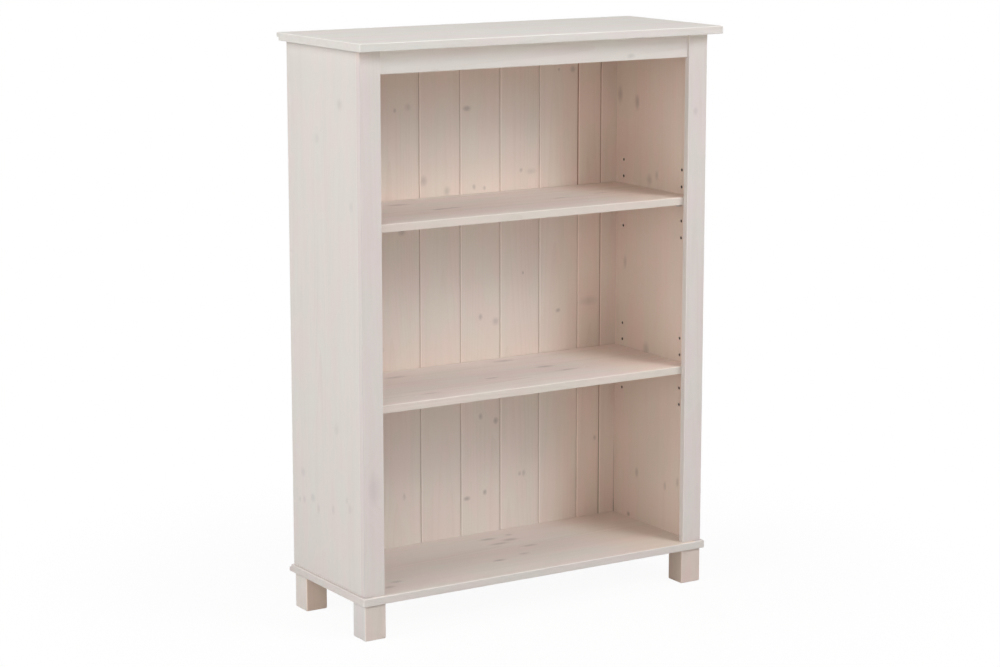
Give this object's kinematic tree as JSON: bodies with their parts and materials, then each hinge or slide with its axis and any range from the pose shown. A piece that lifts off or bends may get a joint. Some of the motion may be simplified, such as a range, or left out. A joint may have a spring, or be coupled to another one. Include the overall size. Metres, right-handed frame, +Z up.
{
  "type": "bookcase",
  "caption": "Whitewashed pine bookcase with open compartments, lift-off shelves on pins, a boarded back, an overhanging top and square feet.",
  "frame": {"origin": "on the floor, under the middle of the bounding box", "axes": "+Z up, +X along the width to the right as seen from the front, +Y from the open front to the back"},
  "size_m": [0.833, 0.3306, 1.1545],
  "materials": {
    "whitewashed_pine": "whitewash under satin lacquer, with grain and soft knots showing through",
    "beech_dowel": "bare turned wood",
    "zinc_plated_steel": "zinc plated"
  },
  "bodies": {
    "case": {"top_board": "whitewashed_pine", "base_board": "whitewashed_pine", "top_rail": "whitewashed_pine", "side_panel_left": "whitewashed_pine", "side_panel_right": "whitewashed_pine", "front_stile_left": "whitewashed_pine", "front_stile_right": "whitewashed_pine", "rear_stile_left": "whitewashed_pine", "rear_stile_right": "whitewashed_pine", "back_board_1": "whitewashed_pine", "back_board_2": "whitewashed_pine", "back_board_3": "whitewashed_pine", "back_board_4": "whitewashed_pine", "back_board_5": "whitewashed_pine", "back_board_6": "whitewashed_pine", "back_board_7": "whitewashed_pine", "back_board_8": "whitewashed_pine", "foot_front_left": "whitewashed_pine", "foot_front_right": "whitewashed_pine", "foot_rear_left": "whitewashed_pine", "foot_rear_right": "whitewashed_pine", "foot_bolt_front_left": "zinc_plated_steel", "foot_bolt_front_right": "zinc_plated_steel", "foot_bolt_rear_left": "zinc_plated_steel", "foot_bolt_rear_right": "zinc_plated_steel", "top_dowel_left_front": "beech_dowel", "top_dowel_left_middle": "beech_dowel", "top_dowel_left_rear": "beech_dowel", "top_dowel_right_front": "beech_dowel", "top_dowel_right_middle": "beech_dowel", "top_dowel_right_rear": "beech_dowel", "rail_dowel_left": "beech_dowel", "rail_dowel_right": "beech_dowel", "base_screw_left_front": "zinc_plated_steel", "base_screw_left_middle": "zinc_plated_steel", "base_screw_left_rear": "zinc_plated_steel", "base_screw_right_front": "zinc_plated_steel", "base_screw_right_middle": "zinc_plated_steel", "base_screw_right_rear": "zinc_plated_steel", "back_screw_left_lower": "zinc_plated_steel", "back_screw_left_middle": "zinc_plated_steel", "back_screw_left_upper": "zinc_plated_steel", "back_screw_right_lower": "zinc_plated_steel", "back_screw_right_middle": "zinc_plated_steel", "back_screw_right_upper": "zinc_plated_steel"},
    "shelf_lower": {"shelf_lower": "whitewashed_pine"},
    "shelf_upper": {"shelf_upper": "whitewashed_pine"},
    "pin_lower_left_front": {"shelf_pin_lower_left_front": "zinc_plated_steel"},
    "pin_lower_left_rear": {"shelf_pin_lower_left_rear": "zinc_plated_steel"},
    "pin_lower_right_front": {"shelf_pin_lower_right_front": "zinc_plated_steel"},
    "pin_lower_right_rear": {"shelf_pin_lower_right_rear": "zinc_plated_steel"},
    "pin_upper_left_front": {"shelf_pin_upper_left_front": "zinc_plated_steel"},
    "pin_upper_left_rear": {"shelf_pin_upper_left_rear": "zinc_plated_steel"},
    "pin_upper_right_front": {"shelf_pin_upper_right_front": "zinc_plated_steel"},
    "pin_upper_right_rear": {"shelf_pin_upper_right_rear": "zinc_plated_steel"}
  },
  "joints": [
    {"name": "shelf_lower_lift", "type": "slide", "parent": "case", "child": "shelf_lower", "axis": [0, 0, 1], "range_m": [0, 0.324]},
    {"name": "shelf_upper_lift", "type": "slide", "parent": "case", "child": "shelf_upper", "axis": [0, 0, 1], "range_m": [0, 0.284]},
    {"name": "pin_lower_left_front_pull", "type": "slide", "parent": "case", "child": "pin_lower_left_front", "axis": [1, 0, 0], "range_m": [0, 0.013]},
    {"name": "pin_lower_left_rear_pull", "type": "slide", "parent": "case", "child": "pin_lower_left_rear", "axis": [1, 0, 0], "range_m": [0, 0.013]},
    {"name": "pin_lower_right_front_pull", "type": "slide", "parent": "case", "child": "pin_lower_right_front", "axis": [-1, 0, 0], "range_m": [0, 0.013]},
    {"name": "pin_lower_right_rear_pull", "type": "slide", "parent": "case", "child": "pin_lower_right_rear", "axis": [-1, 0, 0], "range_m": [0, 0.013]},
    {"name": "pin_upper_left_front_pull", "type": "slide", "parent": "case", "child": "pin_upper_left_front", "axis": [1, 0, 0], "range_m": [0, 0.013]},
    {"name": "pin_upper_left_rear_pull", "type": "slide", "parent": "case", "child": "pin_upper_left_rear", "axis": [1, 0, 0], "range_m": [0, 0.013]},
    {"name": "pin_upper_right_front_pull", "type": "slide", "parent": "case", "child": "pin_upper_right_front", "axis": [-1, 0, 0], "range_m": [0, 0.013]},
    {"name": "pin_upper_right_rear_pull", "type": "slide", "parent": "case", "child": "pin_upper_right_rear", "axis": [-1, 0, 0], "range_m": [0, 0.013]}
  ]
}
